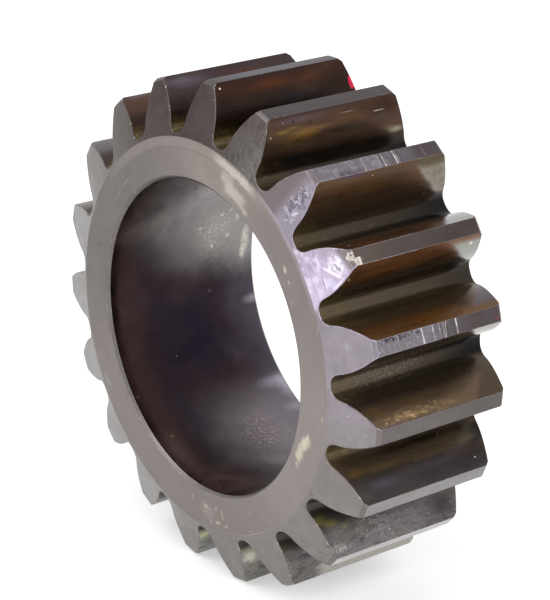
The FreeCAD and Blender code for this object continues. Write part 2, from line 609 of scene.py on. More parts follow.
    def face_mark(self, angle, radius, half_length, half_width, **how):
        """Mark on the front thrust face."""
        return self.patch(angle, radius, -HALF_WIDTH, (half_length, MARK_DEPTH, half_width), **how)

    def end_mark(self, angle, radius, half_length, half_width, **how):
        """Mark on the front end of a tooth."""
        return self.patch(angle, radius, END_PLACE, (half_length, MARK_DEPTH, half_width), **how)

    def stroke(self, start, end, half_width, **how):
        """Long mark on the front end of a tooth, from one angle and radius to another."""
        first = at(start[1], math.radians(start[0]))
        last = at(end[1], math.radians(end[0]))
        middle = (first + last) / 2
        run = last - first
        angle = math.degrees(math.atan2(middle.x, middle.z))
        lean = math.degrees(math.atan2(-run.z, run.x)) - angle
        return self.end_mark(angle, middle.length, run.length / 2, half_width, turn=lean, loose=False, **how)

    def fleck(self, number, clockwise, along, depth, size, **how):
        """Mark on a tooth's flank, that far below its tip."""
        radius = tip_radius - depth
        half = tooth_turn / 2 - flank_angle(radius)
        turn = (number - 1) * tooth_turn + (half if clockwise else -half)
        return self.patch(math.degrees(turn), radius, along, size, loose=False, **how)

    def bore_mark(self, angle, along, half_round, half_length, **how):
        """Mark on the wall of the bore."""
        return self.patch(angle, BORE_RADIUS, along, (half_round, half_length, BORE_MARK_DEPTH), **how)

    def stain(self, along, depth, half_length, half_depth, edge, ragged=1.1, soft=1.1):
        """Soft stain on a flank, at a place along the tooth and a depth below the tips; edge frays it."""
        length = self.math("MULTIPLY_ADD", self.y, 1 / half_length, -along / half_length)
        height = self.math("MULTIPLY_ADD", self.depth, 1 / half_depth, -depth / half_depth)
        reach = self.vector("LENGTH", self.joined(length, height, 0.0))
        reach = self.math("MULTIPLY_ADD", edge, ragged, reach)
        return self.step(reach, 1.1 + ragged * 0.5, 1.1 + ragged * 0.5 - soft)

    def paint(self, colour, strength, *masks):
        """Lays a paint-chart colour over what is there, where all the masks are."""
        laid = self.math("MULTIPLY", self.both(*masks), strength)
        node = self.nodes.new("ShaderNodeMix")
        node.data_type = "RGBA"
        self.put(node.inputs["Factor"], laid)
        self.put(node.inputs[MIX_BELOW], self.colour)
        self.put(node.inputs[MIX_ABOVE], shade(*colour))
        self.colour = node.outputs[MIX_RESULT]

    def roughen(self, amount, *masks):
        """Adds to the roughness where all the masks are, or takes from it."""
        self.rough = self.math("MULTIPLY_ADD", self.both(*masks), amount, self.rough)

    def strip_oil(self, amount, *masks):
        """Adds to the metal that shows where all the masks are."""
        self.metal = self.math("MULTIPLY_ADD", self.both(*masks), amount, self.metal)

    def raise_up(self, amount, *masks):
        """Adds to the height where all the masks are, in millimetres, or takes from it."""
        self.height = self.math("MULTIPLY_ADD", self.both(*masks), amount, self.height)

    def red_mark(self):
        """Dab of red paint on the back edge of the first tooth."""
        self.paint((222, 46, 80), 0.95, self.fleck(1, True, 17.1, 4.5, (0.9, 1.0, 2.6), ragged=0.4))

    def done(self):
        self.put(self.shader.inputs["Base Color"], self.colour)
        self.put(self.shader.inputs["Metallic"], self.metal)
        self.put(self.shader.inputs["Roughness"], self.rough)
        node = self.nodes.new("ShaderNodeBump")
        node.inputs["Distance"].default_value = MILLIMETRE
        self.links.new(self.height, node.inputs["Height"])
        self.links.new(node.outputs["Normal"], self.shader.inputs["Normal"])
        return self.material


# Dried grease on the front thrust face: angle, radius, half length, half width and strength. The whitish
# kind was smeared thin and the cream kind has dried thick
WHITISH_SMEARS = (
    (14.5, 37.9, 0.8, 1.5, 0.6), (17.5, 36.6, 1.3, 1.4, 0.6), (25.0, 35.4, 1.1, 1.0, 0.5),
    (-43.0, 36.9, 2.6, 0.7, 0.3), (-50.0, 36.8, 1.6, 0.5, 0.25), (61.3, 35.9, 0.8, 0.7, 0.3),
    (176.0, 37.8, 3.6, 2.2, 0.25), (70.5, 41.4, 1.0, 0.35, 0.5), (91.0, 40.8, 1.0, 0.4, 0.4),
    (152.0, 36.9, 0.8, 0.6, 0.3),
)
CREAM_SMUDGES = (
    (51.1, 36.9, 1.5, 0.6, 0.9), (55.3, 36.8, 1.0, 0.4, 0.75), (105.5, 37.6, 2.2, 1.2, 0.9),
    (107.0, 36.9, 2.6, 1.4, 0.95), (109.5, 35.6, 1.0, 0.7, 0.8), (112.4, 36.3, 2.6, 1.6, 0.95),
    (116.5, 36.6, 1.0, 0.8, 0.6), (95.5, 40.7, 1.0, 0.25, 0.7), (-176.0, 36.5, 0.5, 1.1, 0.6),
    (177.1, 36.9, 0.9, 1.1, 0.7), (171.5, 36.8, 0.7, 1.2, 0.75), (168.6, 37.9, 0.5, 1.3, 0.7),
    (175.3, 39.8, 0.5, 0.8, 0.5), (171.0, 39.9, 1.6, 0.6, 0.75), (167.0, 40.0, 1.3, 0.5, 0.65),
    (178.0, 38.4, 0.9, 0.6, 0.45), (26.6, 35.3, 1.5, 0.9, 0.7), (125.6, 37.2, 0.15, 0.3, 0.7),
    (143.5, 40.6, 0.3, 0.3, 0.5), (155.3, 41.2, 1.2, 0.12, 0.6),
)
# Smears that follow the rim: direction, degrees to each side at full strength and to its end, radius, half
# width and strength
RIM_SMEARS = ((18.5, 5, 12, 40.7, 1.3, 1.0), (16, 1.5, 4, 38.4, 1.7, 0.6), (20.5, 3, 7, 36.6, 1.9, 0.8))


def thrust_face_finish():
    """Ground face, rubbed satin by its washer, with a lighter rim that the washer doesn't reach."""
    finish = Finish("ground thrust face", 1.0, 0.42, (126, 119, 116))
    finish.paint((134, 126, 122), 0.6, finish.grain(0.045, 3))
    finish.paint((146, 136, 131), 0.75, finish.near_turn(14, 6, 30))
    finish.paint((144, 136, 133), 0.8, finish.near_turn(112, 18, 46))
    finish.paint((110, 105, 104), 0.85, finish.near_turn(-58, 18, 62))
    turning = finish.grain(1.0, 5, where=finish.around(7, 9))
    finish.paint((112, 104, 101), 0.25, turning)
    finish.raise_up(0.004, turning)
    finish.roughen(0.08, finish.grain(0.15, 4))
    rim = finish.both(finish.out(39.4, 40.3), finish.near_turn(-4, 30, 52))
    finish.paint((142, 134, 129), 0.45, rim)
    groove = finish.both(finish.band(finish.radius, 39.9, 0.02, 0.3), finish.near_turn(-20, 28, 50))
    finish.paint((106, 98, 95), 0.35, groove)
    finish.raise_up(-0.012, groove)
    specks = finish.grain(1.7, 3, low=0.68, high=0.75)
    finish.paint((96, 88, 84), 0.45, specks)
    finish.raise_up(-0.02, specks)
    brushed = finish.grain(1.0, 4, where=finish.around(3.5, 8), low=0.3, high=0.6)
    thin = finish.both(finish.math("MULTIPLY_ADD", brushed, 0.4, 0.6), finish.along(0, -1))
    for angle, radius, length, width, strength in WHITISH_SMEARS:
        smear = finish.face_mark(angle, radius, length, width, ragged=1.0, soft=0.9)
        finish.paint((184, 176, 168), strength, smear, thin)
        finish.roughen(0.1, smear)
    frayed = finish.math("MULTIPLY_ADD", finish.ragged_edge, 1.8, finish.radius)
    for turn, inner, outer, radius, width, strength in RIM_SMEARS:
        ring = finish.band(frayed, radius + 0.9, width * 0.3, width)
        smear = finish.both(finish.near_turn(turn, inner, outer), ring)
        finish.paint((194, 186, 178), strength, smear, thin)
        finish.roughen(0.1, smear)
    for angle, radius, length, width, strength in CREAM_SMUDGES:
        near_the_table = abs(angle) > 160
        ragged, soft = (1.5, 1.2) if near_the_table else (0.9, 0.75)
        smudge = finish.face_mark(angle, radius, length, width, ragged=ragged, soft=soft)
        finish.paint((207, 200, 182), strength, smudge, thin)
        finish.roughen(0.2, smudge)
    bright_rim = finish.both(finish.band(finish.radius, 41.5, 0.05, 0.3), finish.near_turn(156, 9, 13))
    finish.paint((190, 184, 182), 0.25, bright_rim, brushed)
    finish.paint((78, 70, 67), 0.5, finish.face_mark(-74, 37.8, 0.5, 1.1, soft=0.9))
    finish.paint((160, 156, 150), 0.4, finish.face_mark(-121, 40.3, 1.8, 1.6, soft=0.9))
    # Painted lilac highlight on the rim below the fourth tooth's end
    lilac_highlight = finish.both(finish.near_turn(48, 12, 20), finish.out(40.7, 41.7), brushed)
    finish.paint((182, 170, 186), 0.6, lilac_highlight)
    return finish.done()


# Scrapes on the front end of the fourth tooth, laid over each other in this order: where each begins and
# ends, as an angle and a radius, its half width, colour and strength
SCRAPES = (
    ((51.4, 43.4), (53.6, 44.4), 0.5, (232, 222, 240), 0.5),
    ((53.0, 42.4), (54.8, 42.4), 0.6, (226, 214, 236), 0.5),
    ((52.4, 44.4), (56.8, 44.2), 0.35, (178, 162, 196), 0.6),
    ((57.0, 43.6), (61.0, 43.4), 0.3, (184, 168, 200), 0.5),
    ((53.2, 46.3), (55.4, 46.0), 0.4, (236, 226, 246), 0.5),
    ((60.4, 48.8), (60.8, 46.8), 1.4, (202, 200, 222), 0.8),
    ((54.6, 50.0), (57.0, 51.2), 0.6, (246, 240, 250), 0.6),
    ((55.6, 49.2), (58.6, 50.3), 0.3, (132, 124, 140), 0.7),
    ((56.8, 48.2), (58.6, 49.2), 0.26, (146, 136, 154), 0.7),
    ((54.7, 51.0), (56.3, 51.9), 0.35, (158, 148, 162), 0.6),
    ((55.2, 46.1), (60.4, 50.7), 0.5, (248, 238, 251), 0.85),
    ((59.9, 51.0), (62.2, 46.4), 0.34, (238, 226, 244), 0.7),
    ((56.9, 45.9), (61.9, 45.9), 0.16, (150, 134, 166), 0.7),
    ((56.7, 46.3), (62.2, 46.2), 0.17, (246, 236, 252), 0.9),
)

# Spots on the tooth ends: angle, radius, half size and colour
END_SPOTS = (
    (20.2, 48.6, 0.4, (66, 58, 60)), (22.6, 47.4, 0.3, (70, 62, 62)), (18.6, 45.6, 0.3, (70, 62, 60)),
    (2.9, 50.6, 0.3, (150, 140, 134)), (118.5, 49.0, 0.9, (118, 114, 112)),
    (79.0, 50.0, 0.4, (124, 114, 122)), (75.0, 47.5, 1.2, (170, 163, 170)),
    (-53.0, 50.5, 0.35, (66, 60, 64)), (-94.0, 49.0, 0.4, (206, 204, 204)),
    (-23.0, 51.5, 0.3, (70, 62, 62)),
)

# Single scratches and bruises on the tooth ends, laid out as the scrapes are
END_SCRATCHES = (
    ((95.4, 51.4), (94.8, 49.8), 0.1, (208, 200, 206), 0.7),
    ((91.2, 47.2), (92.4, 46.5), 0.14, (222, 215, 221), 0.8),
    ((-113.9, 52.0), (-114.6, 46.0), 0.4, (138, 136, 136), 0.5),
    ((-76.8, 47.5), (-75.2, 43.2), 0.22, (116, 115, 117), 0.5),
    ((119.2, 43.4), (120.7, 41.9), 0.26, (48, 42, 42), 1.0),
    ((-56.0, 52.0), (-57.5, 46.0), 0.35, (114, 112, 112), 0.4),
    ((-94.5, 51.5), (-95.5, 45.0), 0.3, (144, 142, 141), 0.4),
)


def tooth_end_finish():
    """Turned ends of the teeth: dull grey, with painted shade on those near the top and painted light on
    those at the left and the right, dents on two, and one scraped bright under a painted lilac highlight.
    """
    finish = Finish("dull tooth end", 1.0, 0.5, (138, 134, 131))
    # Painted light and shade by the way each sloping end faces: lighter at the left, lilac at the right,
    # darker at the top
    finish.paint((158, 156, 155), 0.95, finish.near_turn(-112, 40, 72))
    finish.paint((156, 148, 156), 1.0, finish.near_turn(70, 12, 44))
    finish.paint((71, 62, 60), 1.0, finish.near_turn(-9.5, 6, 58))
    finish.paint((112, 105, 103), 0.2, finish.grain(0.18, 4))
    finish.roughen(0.1, finish.grain(0.5, 4))
    turning = finish.grain(1.0, 5, where=finish.around(7, 9))
    finish.raise_up(0.005, turning)
    finish.paint((92, 86, 84), 0.1, turning)
    front = finish.along(0, -1)
    third = finish.both(finish.on_tooth(3), front)
    finish.paint((120, 111, 113), 0.85, third)
    bright_half = finish.both(third, finish.step(finish.side, -0.14, 0.1))
    finish.paint((158, 150, 164), 0.75, bright_half)
    spaces = finish.step(finish.math("ABSOLUTE", finish.side), 0.5, 0.36)
    fourth = finish.both(finish.on_tooth(4), front, spaces)
    # Painted lilac highlight on the fourth tooth's end, weaker to one side; the scrapes and crushing laid
    # over it are wear
    finish.paint((192, 180, 203), 0.95, fourth)
    finish.paint((164, 154, 168), 0.7, fourth, finish.step(finish.side, 0.02, -0.2))
    brushed = finish.grain(1.0, 4, where=finish.around(2.2, 10), low=0.4, high=0.62)
    finish.paint((218, 206, 228), 0.5, fourth, brushed, finish.out(48.5, 45.5))
    scratched = finish.grain(1.0, 5, 0.65, where=finish.around(5.0, 22), low=0.5, high=0.64)
    finish.paint((172, 158, 186), 0.35, fourth, scratched)
    clouded = finish.both(fourth, finish.grain(0.42, 5, 0.6, low=0.5, high=0.62), finish.out(50, 47))
    finish.paint((234, 224, 242), 0.55, clouded)
    crushed = finish.both(fourth, finish.end_mark(56.9, 49.6, 3.4, 2.6, turn=-20, ragged=0.9, soft=0.8))
    finish.paint((216, 206, 226), 0.7, crushed)
    finish.paint((250, 244, 252), 0.85, crushed, finish.grain(0.75, 6, 0.65, low=0.46, high=0.56))
    crevices = finish.grain(0.9, 6, 0.65, where=finish.moved(5, 3, 8), low=0.54, high=0.64)
    finish.paint((146, 138, 154), 0.6, crushed, crevices)
    finish.raise_up(-0.04, crushed, crevices)
    for start, end, width, colour, strength in SCRAPES:
        scrape = finish.stroke(start, end, width, ragged=0.8, soft=0.55)
        finish.paint(colour, strength, scrape)
        freshly_cut = colour[1] > 220
        if freshly_cut:
            finish.raise_up(-0.03, scrape)
    above = finish.math("MULTIPLY_ADD", finish.side, 5.0, finish.radius)
    tip = finish.math("MULTIPLY_ADD", finish.ragged_edge, 1.6, finish.math("SUBTRACT", finish.radius, above))
    tip = finish.step(finish.math("ADD", tip, finish.radius), 51.8, 53.2)
    finish.paint((132, 122, 121), 0.85, fourth, tip)

    # Hammered spots: dark pits with bright rims on the second and third teeth
    second = finish.both(finish.on_tooth(2), front)
    finish.paint((90, 81, 78), 0.6, second, finish.out(47, 51))
    hatching = finish.grain(1.4, 4, stretch=(1, 0.2, 0.35), low=0.5, high=0.64)
    finish.paint((70, 63, 62), 0.5, second, hatching)
    one_side = finish.step(finish.side, 0.04, 0.16)
    finish.paint((150, 142, 140), 0.5, second, one_side, finish.grain(1.6, 4, low=0.57, high=0.63))
    pits = finish.grain(0.85, 6, 0.62, low=0.5, high=0.56)
    rims = finish.grain(1.2, 5, 0.6, where=finish.moved(3.1, 7.0, 1.7), low=0.52, high=0.6)
    hammered = finish.patch(40.0, 47.8, -18, (3.2, MARK_DEPTH, 7.4), turn=-5, ragged=0.8, soft=0.8)
    spread = finish.both(third, hammered, finish.step(finish.side, -0.12, 0.02))
    finish.paint((176, 167, 186), 0.6, spread, finish.grain(0.5, 3))
    finish.paint((226, 217, 236), 0.7, spread, rims)
    finish.paint((88, 80, 88), 0.65, spread, pits)
    finish.raise_up(-0.06, spread, pits)
    for angle, radius, size, colour in END_SPOTS:
        spot = finish.end_mark(angle, radius, size, size * 0.6, ragged=0.7, soft=0.6, loose=False)
        finish.paint(colour, 0.7, spot)
    for start, end, width, colour, strength in END_SCRATCHES:
        finish.paint(colour, strength, finish.stroke(start, end, width, ragged=1.0, soft=0.9))
    eighth = finish.both(finish.on_tooth(8), front, finish.out(49, 51.5))
    finish.paint((96, 92, 88), 0.7, eighth, finish.grain(1.5, 4, stretch=(0.25, 0.2, 1.3), low=0.5, high=0.6))
    finish.red_mark()
    return finish.done()


# Colour of the flanks that the oil and the heat have stained most: tooth, clockwise side or not, colour
# near the tip, colour deep in the space, and the depth below the tip where the one turns into the other
FLANK_TINTS = (
    (17, True, (98, 88, 96), (64, 54, 52), 5.0), (18, True, (80, 55, 44), (50, 34, 28), 5.0),
    (19, True, (68, 53, 55), (44, 32, 30), 4.6), (1, True, (58, 35, 26), (42, 30, 25), 3.4),
    (2, True, (80, 58, 46), (46, 38, 32), 7.0), (3, True, (92, 68, 48), (84, 66, 50), 5.0),
    (4, True, (112, 72, 44), (54, 42, 27), 4.8), (4, False, (86, 60, 40), (58, 47, 36), 5.0),
    (5, False, (106, 74, 44), (90, 71, 50), 4.2), (5, True, (72, 62, 50), (62, 54, 44), 5.0),
    # The seventh tooth's dark colour near the tip is painted shade
    (6, False, (106, 87, 68), (72, 60, 49), 4.8), (7, False, (64, 58, 58), (106, 90, 72), 5.2),
    (8, False, (112, 109, 109), (88, 82, 80), 5.0), (9, False, (106, 103, 101), (96, 92, 88), 5.0),
    (10, False, (132, 130, 124), (80, 76, 72), 8.6), (11, False, (150, 150, 146), (96, 94, 90), 8.8),
)

# Stains on those flanks, by tooth and clockwise side or not: place along the tooth, depth below the tip,
# half length, half depth, colour, strength
FLANK_STAINS = {
    (19, True): ((-12.0, 1.6, 7.0, 1.8, (100, 92, 102), 0.8), (3.0, 2.4, 7.0, 1.6, (92, 56, 38), 0.7)),
    (18, True): ((-8.0, 2.0, 7.0, 1.6, (98, 64, 44), 0.7), (-12.0, 0.4, 5.0, 0.7, (104, 92, 98), 0.7)),
    (1, True): (
        (-3.0, 1.9, 7.0, 1.2, (90, 48, 24), 0.8), (7.0, 2.1, 5.5, 1.1, (84, 43, 23), 0.75),
        (0.0, 0.1, 17.0, 0.5, (50, 38, 42), 0.7), (3.0, 4.9, 6.5, 1.5, (28, 28, 36), 0.85),
        (-15.0, 4.0, 3.0, 3.0, (34, 21, 18), 0.7), (14.5, 3.0, 2.5, 4.0, (46, 27, 22), 0.7),
    ),
    (2, True): (
        (-8.0, 1.0, 9.0, 0.8, (92, 76, 80), 0.7), (-3.0, 0.2, 14.0, 0.4, (64, 50, 58), 0.8),
        (12.0, 1.6, 10.0, 3.0, (50, 32, 22), 0.9), (-11.0, 4.4, 7.0, 2.4, (108, 84, 48), 0.7),
        (-7.0, 3.7, 5.0, 1.4, (136, 102, 50), 0.8), (-12.8, 2.7, 2.8, 0.5, (138, 120, 56), 0.7),
        (-10.0, 2.3, 2.6, 0.4, (128, 108, 54), 0.6), (-3.0, 3.0, 3.0, 0.5, (122, 94, 56), 0.6),
        (4.5, 2.5, 6.5, 1.1, (98, 64, 38), 0.65), (5.0, 4.2, 6.0, 0.9, (66, 64, 56), 0.55),
        (12.5, 3.6, 2.5, 1.1, (74, 66, 56), 0.5), (-8.5, 8.2, 6.5, 0.9, (28, 31, 35), 0.7),
        (15.9, 6.6, 2.6, 0.9, (160, 150, 126), 0.8), (14.2, 6.0, 1.6, 0.5, (120, 108, 90), 0.7),
        (0.0, 5.9, 18.0, 1.5, (108, 88, 72), 0.55),
    ),
    (3, True): (
        (-7.0, 0.3, 4.2, 0.55, (78, 66, 90), 0.8), (-9.5, 2.4, 5.0, 1.2, (112, 76, 46), 0.7),
        (-1.0, 3.2, 6.0, 1.5, (102, 78, 44), 0.6), (-9.5, 3.5, 1.3, 0.6, (84, 38, 27), 0.8),
        (2.0, 1.0, 5.0, 0.7, (84, 74, 62), 0.6), (17.0, 9.6, 2.4, 1.6, (40, 42, 60), 0.8),
    ),
    (4, True): (
        (-5.0, 3.0, 8.5, 1.2, (136, 80, 40), 0.8), (-6.5, 3.9, 3.5, 0.7, (96, 42, 27), 0.6),
        (5.0, 2.4, 3.5, 0.8, (98, 66, 38), 0.6), (7.5, 3.9, 6.0, 1.3, (48, 34, 22), 0.85),
        (-14.5, 2.5, 1.6, 1.8, (76, 60, 44), 0.6), (2.0, 5.4, 8.0, 1.0, (38, 38, 24), 0.6),
        (17.0, 8.2, 2.0, 1.2, (30, 34, 44), 0.8), (16.4, 9.9, 1.2, 0.7, (150, 158, 158), 0.7),
    ),
    (4, False): ((-10.0, 1.1, 3.6, 0.8, (122, 70, 34), 0.8), (-2.0, 2.0, 6.0, 1.0, (74, 52, 36), 0.6)),
    (5, False): (
        (-1.0, 1.9, 6.5, 1.2, (126, 80, 34), 0.85), (-11.0, 1.6, 4.0, 1.4, (112, 74, 46), 0.6),
        (9.5, 3.2, 3.6, 2.6, (60, 43, 31), 0.85), (-6.0, 6.6, 7.0, 1.0, (44, 44, 38), 0.5),
        (5.0, 7.0, 7.0, 1.0, (32, 32, 34), 0.5),
    ),
    (6, False): (
        (-12.5, 0.15, 5.0, 0.35, (104, 82, 90), 0.85), (-7.0, 1.3, 6.5, 1.1, (146, 114, 76), 0.7),
        (2.0, 1.2, 5.0, 0.9, (124, 96, 68), 0.6), (-14.0, 3.2, 2.4, 2.0, (122, 92, 50), 0.65),
        (13.5, 0.9, 2.4, 0.7, (122, 84, 74), 0.6), (8.0, 3.4, 6.0, 1.4, (98, 84, 66), 0.55),
        (-6.0, 3.4, 8.5, 1.4, (120, 96, 68), 0.7), (0.0, 0.1, 17.0, 0.25, (96, 84, 80), 0.6),
    ),
    # The seventh tooth's flank carries painted shade: a dark wash over its back end, where it would mirror
    # the table
    (7, False): (
        (-14.5, 6.2, 2.6, 1.3, (140, 108, 56), 0.8), (-7.0, 5.9, 7.5, 1.0, (130, 108, 76), 0.75),
        (3.0, 5.4, 6.5, 1.0, (112, 94, 72), 0.7), (-10.0, 2.8, 4.5, 1.2, (82, 76, 88), 0.7),
        (2.0, 2.0, 7.0, 1.8, (46, 42, 50), 0.75), (11.0, 2.6, 7.0, 3.4, (42, 37, 38), 0.85),
        (19.0, 7.0, 10.0, 6.5, (20, 18, 20), 1.0), (3.0, 8.7, 17.0, 1.4, (28, 24, 22), 0.85),
        (14.6, 4.9, 0.6, 0.8, (62, 30, 42), 0.8), (-15.0, 1.5, 2.0, 1.2, (84, 78, 74), 0.6),
    ),
    (8, False): (
        (-17.2, 7.6, 2.6, 1.1, (160, 154, 88), 0.9), (-14.8, 6.4, 2.6, 1.1, (152, 146, 88), 0.85),
        (-12.0, 5.2, 2.0, 0.7, (120, 114, 62), 0.7), (-13.5, 2.6, 1.8, 1.2, (120, 116, 86), 0.5),
        (-12.5, 5.4, 3.0, 0.8, (124, 120, 114), 0.5), (-4.0, 2.3, 6.5, 1.0, (136, 134, 137), 0.6),
        (12.5, 3.0, 7.0, 4.0, (58, 53, 53), 0.85), (2.0, 4.6, 8.0, 0.7, (84, 80, 82), 0.6),
    ),
    (9, False): (
        (-2.0, 2.9, 9.0, 0.7, (84, 82, 82), 0.6), (0.0, 1.6, 10.0, 0.6, (140, 138, 138), 0.5),
        (-13.0, 3.0, 3.0, 2.0, (110, 104, 94), 0.5), (-12.5, 4.9, 3.5, 1.0, (66, 56, 66), 0.7),
        (-13.0, 7.8, 6.0, 2.0, (40, 36, 36), 0.85),
    ),
    (10, False): (
        (-15.5, 6.2, 3.8, 2.6, (228, 224, 206), 0.95), (-13.5, 6.2, 1.4, 0.9, (176, 170, 112), 0.7),
        (-14.0, 3.0, 2.4, 1.2, (170, 168, 150), 0.6),
    ),
    (11, False): ((-16.5, 7.0, 2.6, 1.7, (220, 222, 176), 0.95),),
}

# Roots that are darker or paler than the rest: direction, colour and strength
ROOT_TINTS = ((28.4, (42, 38, 35), 0.5), (47.4, (42, 38, 34), 0.3), (66.3, (100, 88, 72), 0.25))

# Back ends wiped clean of oil, whose colour is a painted reflection of the white table, added to the real
# reflection that the bare metal gives: tooth, clockwise side or not, colour, how far below the tip they
# begin, and where along the tooth
WIPED_ENDS_PAINTED_REFLECTION = (
    (3, True, (130, 123, 114), 1.4, 8.2), (4, True, (146, 146, 141), 1.2, 8.4),
    (5, False, (89, 80, 86), 1.5, 9.6), (6, False, (78, 67, 55), 0.0, 9.3),
    (4, False, (150, 148, 148), 0.0, 8.3), (5, True, (140, 134, 124), 0.0, 8.3),
)

# Grit and pinholes on the flanks, by tooth and clockwise side or not: place along the tooth, depth, half
# size, colour
FLANK_SPECKS = {
    (1, True): ((-15.0, 1.1, 0.28, (250, 246, 236)),),
    (2, True): (
        (-15.6, 3.2, 0.2, (235, 225, 205)), (-9.9, 1.3, 0.32, (44, 32, 30)), (-5.8, 1.9, 0.35, (40, 28, 26)),
        (-12.4, 1.1, 0.2, (150, 138, 132)), (-9.0, 4.6, 0.3, (60, 42, 26)),
    ),
    (3, True): (
        (-2.2, 1.0, 0.2, (200, 184, 160)), (12.9, 8.0, 0.35, (146, 124, 92)),
        (12.0, 3.0, 0.3, (108, 100, 80)), (14.6, 2.4, 0.22, (108, 100, 80)),
    ),
    (4, True): ((14.0, 2.0, 0.5, (230, 216, 212)), (-16.0, 3.1, 0.42, (216, 208, 190))),
    (4, False): ((-13.9, 2.2, 0.3, (226, 218, 200)),),
    (5, False): ((12.2, 3.5, 0.25, (70, 62, 60)), (-3.4, 1.4, 0.2, (190, 140, 80))),
    (5, True): ((-7.8, 2.5, 0.22, (220, 214, 200)),),
    (6, False): ((-13.5, 0.9, 0.25, (205, 190, 160)),),
    (7, False): (
        (-1.4, 4.7, 0.35, (34, 36, 30)), (13.4, 2.0, 0.2, (225, 220, 214)), (8.0, 8.6, 0.2, (210, 205, 198)),
        (0.2, 0.8, 0.22, (36, 32, 38)), (6.4, 2.4, 0.22, (34, 28, 40)),
    ),
    (8, False): (
        (-1.4, 1.9, 0.15, (225, 222, 220)), (-3.4, 1.5, 0.13, (200, 198, 196)),
        (9.0, 2.2, 0.16, (190, 188, 186)),
    ),
}


def flank_finish():
    """Flanks and roots, polished along the tooth, under brown, blue-black and olive oil stains."""
    finish = Finish("oil-stained flank", 0.6, 0.22, (78, 66, 58))
    finish.shader.inputs["Specular IOR Level"].default_value = 0.2
    finish.paint((56, 47, 41), 0.85, finish.down(3.4, 6.6))
    for number, clockwise, high_colour, deep_colour, turns_deep in FLANK_TINTS:
        flank = finish.on_flank(number, clockwise)
        finish.paint(high_colour, 1.0, flank)
        finish.paint(deep_colour, 1.0, flank, finish.down(turns_deep - 1.5, turns_deep + 1.5))
    drawn_out = finish.vector("MULTIPLY", finish.place, (1.0, 0.3, 1.0))
    fray = finish.noise(drawn_out, 0.55, 6.0, 0.6).outputs["Fac"]
    for flank, stains in FLANK_STAINS.items():
        for along, depth, length, height, colour, strength in stains:
            stained = finish.stain(along, depth, length, height, fray)
            finish.paint(colour, strength, finish.on_flank(*flank), stained)

    # Streaks along the teeth, and cloudy oil between them
    finish.paint((38, 31, 27), 0.2, finish.grain(0.6, 4, stretch=(1, 0.08, 1), low=0.42, high=0.7))
    finish.paint((96, 74, 52), 0.18, finish.grain(0.22, 4, stretch=(1, 0.4, 1), low=0.5, high=0.7))
    finish.roughen(0.12, finish.grain(0.8, 4, stretch=(1, 0.2, 1)))
    finish.raise_up(0.002, finish.grain(1.6, 5, stretch=(1, 0.1, 1)))

    # Roots: a floor that pales towards the front, with olive grease in it there, and a near-black back end
    root = finish.down(9.9, 10.7)
    finish.paint((38, 33, 29), 0.85, root)
    finish.paint((94, 81, 66), 0.75, root, finish.along(20, -19))
    marks = finish.grain(1.3, 4, stretch=(1, 0.45, 1), low=0.58, high=0.68)
    finish.paint((118, 110, 98), 0.4, root, marks, finish.along(12, -6))
    finish.paint((17, 16, 18), 0.9, finish.down(9.4, 10.4), finish.along(8, 17))
    front_root = finish.both(finish.down(6.8, 9.4), finish.along(-10, -16))
    grease = finish.both(front_root, finish.grain(0.5, 4, low=0.3, high=0.6))
    finish.paint((98, 84, 50), 0.7, grease)
    finish.paint((140, 126, 78), 0.5, grease, finish.grain(1.2, 4, low=0.58, high=0.68))

    # The painted reflections on the wiped zones end along a slanting line: they reach furthest forward at the
    # tips
    slanting = finish.math("MULTIPLY_ADD", finish.depth, -1.05, finish.y)
    frayed = finish.math("MULTIPLY_ADD", fray, 3.0, slanting)
    for number, clockwise, colour, begins, forward in WIPED_ENDS_PAINTED_REFLECTION:
        above_root = finish.down(9.3 if clockwise else 8.2, 7.6 if clockwise else 6.4)
        reflection_line = finish.both(finish.step(frayed, forward, forward + 1.6), above_root)
        painted_reflection = finish.both(finish.on_flank(number, clockwise), reflection_line)
        if begins:
            painted_reflection = finish.both(painted_reflection, finish.down(begins - 1.0, begins + 1.0))
        finish.paint(colour, 0.95, painted_reflection)
        finish.strip_oil(0.4, painted_reflection)
        finish.roughen(-0.1, painted_reflection)
    brown_tip = finish.both(finish.on_flank(3, True), finish.stain(12.5, 0.6, 6.0, 1.6, fray))
    finish.paint((82, 71, 57), 0.9, brown_tip)
    # The third tooth's painted reflection is mottled darker along its edge
    reflection_line = finish.both(finish.step(frayed, 8.3, 9.9), finish.down(9.3, 7.6))
    mottled = finish.both(finish.on_flank(3, True), reflection_line, finish.grain(0.7, 5, 0.6, low=0.46, high=0.6))
    finish.paint((92, 86, 66), 0.45, mottled)

    # Gold pitting under the sixth tooth's tip, and fine scratches on the lowest teeth in view
    gold = finish.both(finish.on_flank(6, False), finish.stain(-5.5, 1.3, 11.0, 1.5, fray, soft=1.0))
    pits = finish.both(gold, finish.grain(1.25, 6, 0.66, stretch=(1, 0.5, 1), low=0.47, high=0.63))
    finish.paint((204, 176, 134), 0.75, pits)
    finish.raise_up(-0.02, pits)
    scored = finish.down(7.0, 4.5)
    uneven = finish.both(finish.grain(0.22, 4, low=0.38, high=0.62), finish.along(12, -6))
    fine = finish.grain(2.8, 5, 0.7, stretch=(1, 0.6, 1), low=0.52, high=0.64)
    dark = finish.grain(1.0, 6, 0.65, stretch=(1, 0.4, 1), low=0.5, high=0.62)
    across_the_tooth = finish.joined(finish.depth, finish.math("MULTIPLY", finish.y, 3.5), 0.0)
    hatched = finish.grain(1.0, 3, where=across_the_tooth)
    for number in (8, 9, 10, 11):
        low_flank = finish.both(finish.on_flank(number, False), scored)
        finish.paint((60, 55, 57), 0.5, low_flank, dark)
        finish.paint((176, 175, 178), 0.6, low_flank, fine, uneven)
        finish.raise_up(0.015, low_flank, fine)
        finish.strip_oil(0.25, low_flank)
